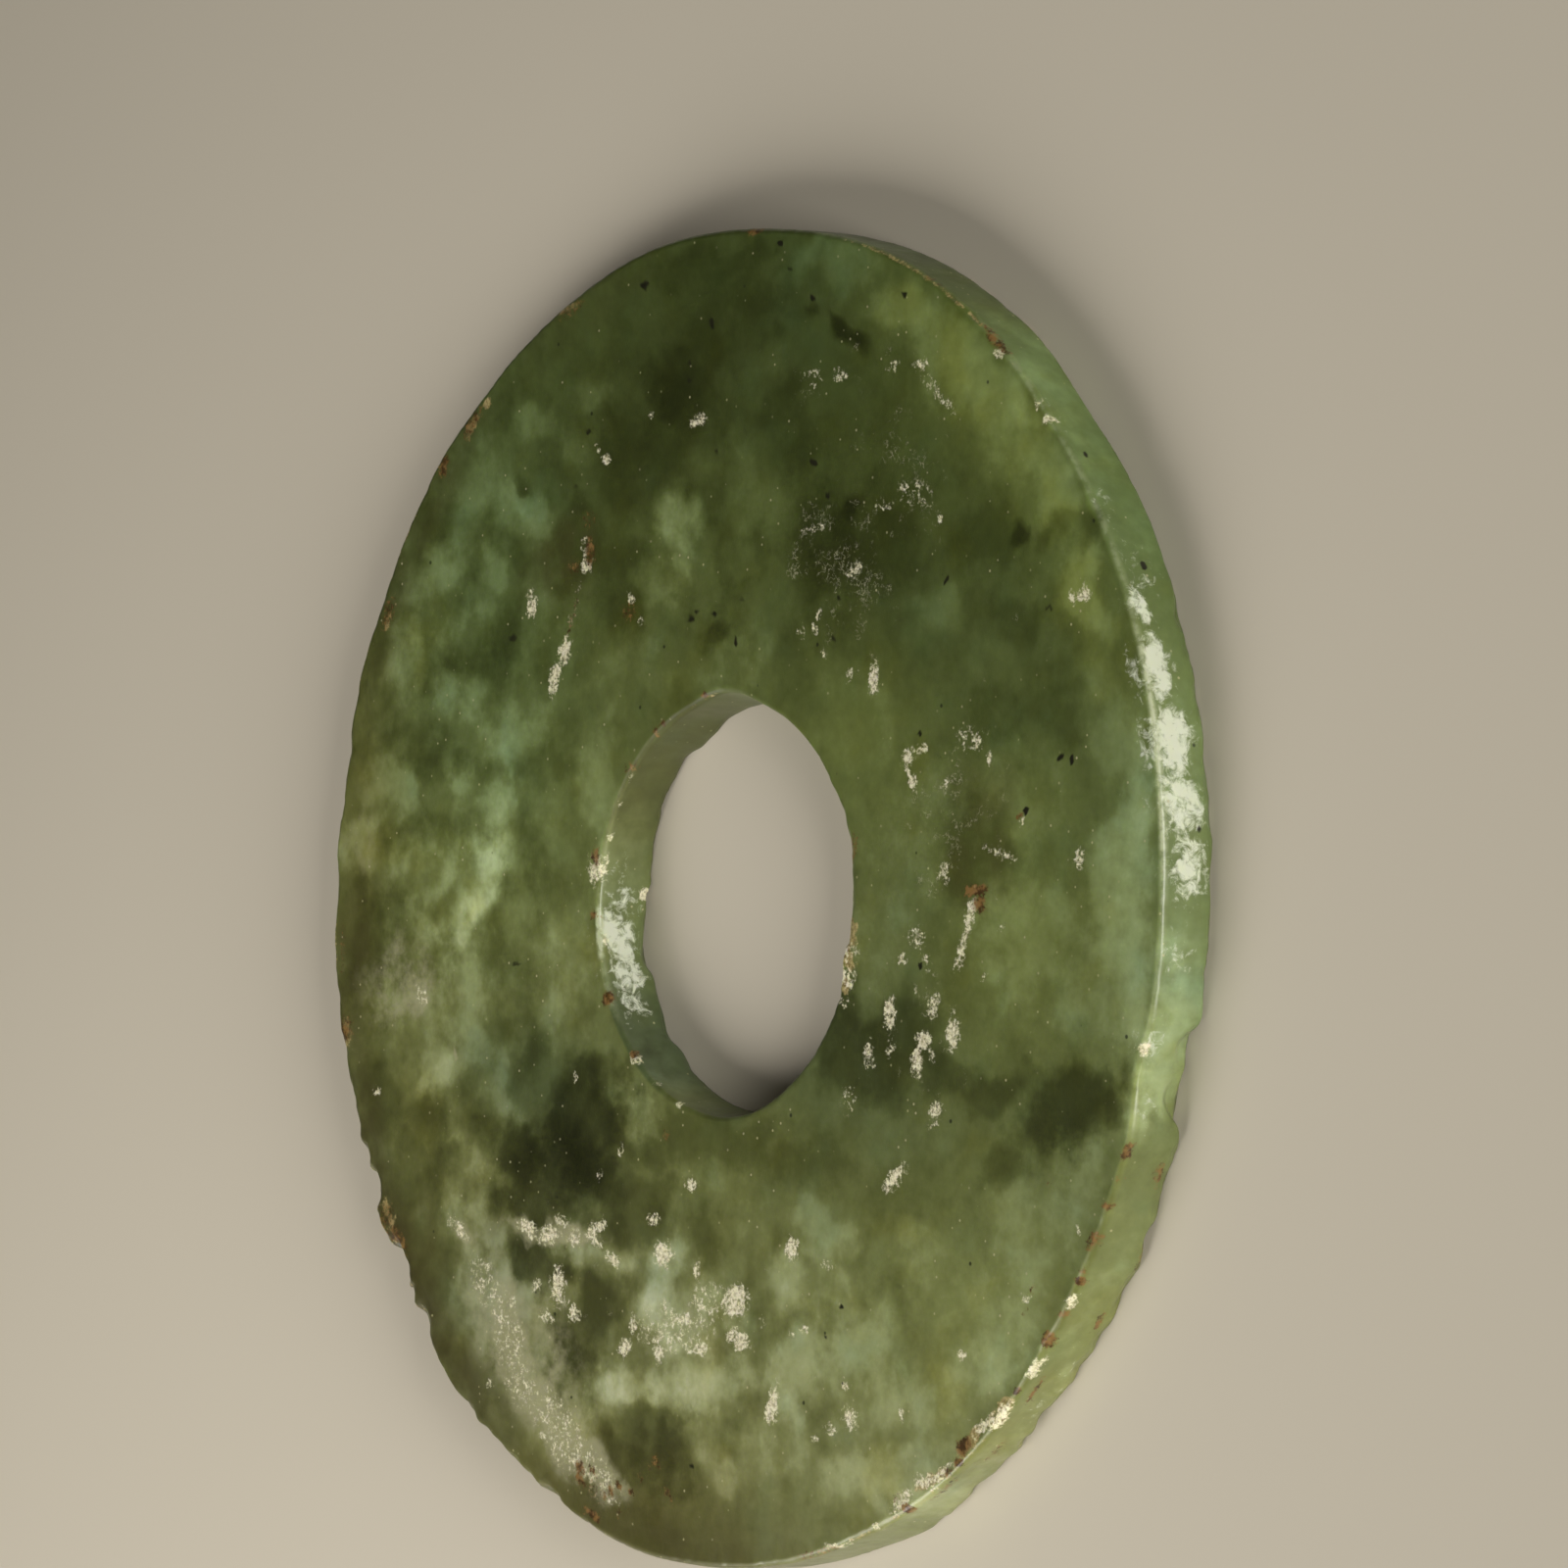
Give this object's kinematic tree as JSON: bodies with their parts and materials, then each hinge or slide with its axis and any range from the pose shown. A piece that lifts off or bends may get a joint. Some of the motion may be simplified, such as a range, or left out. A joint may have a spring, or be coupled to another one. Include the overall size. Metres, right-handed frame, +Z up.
{
  "type": "jade bi disc",
  "caption": "Flat green nephrite jade ring disc with a drilled central hole, pale veins and flecks, and worn, chipped edges.",
  "frame": {"origin": "centre of the underside, on the surface that the disc lies on", "axes": "+Z up through the hole, square to both faces; +X towards the side with the shallow loss in its rim"},
  "size_m": [0.111, 0.11, 0.0052],
  "materials": {
    "jade": "satin"
  },
  "bodies": {
    "root": {"jade_disc": "jade"}
  },
  "joints": []
}
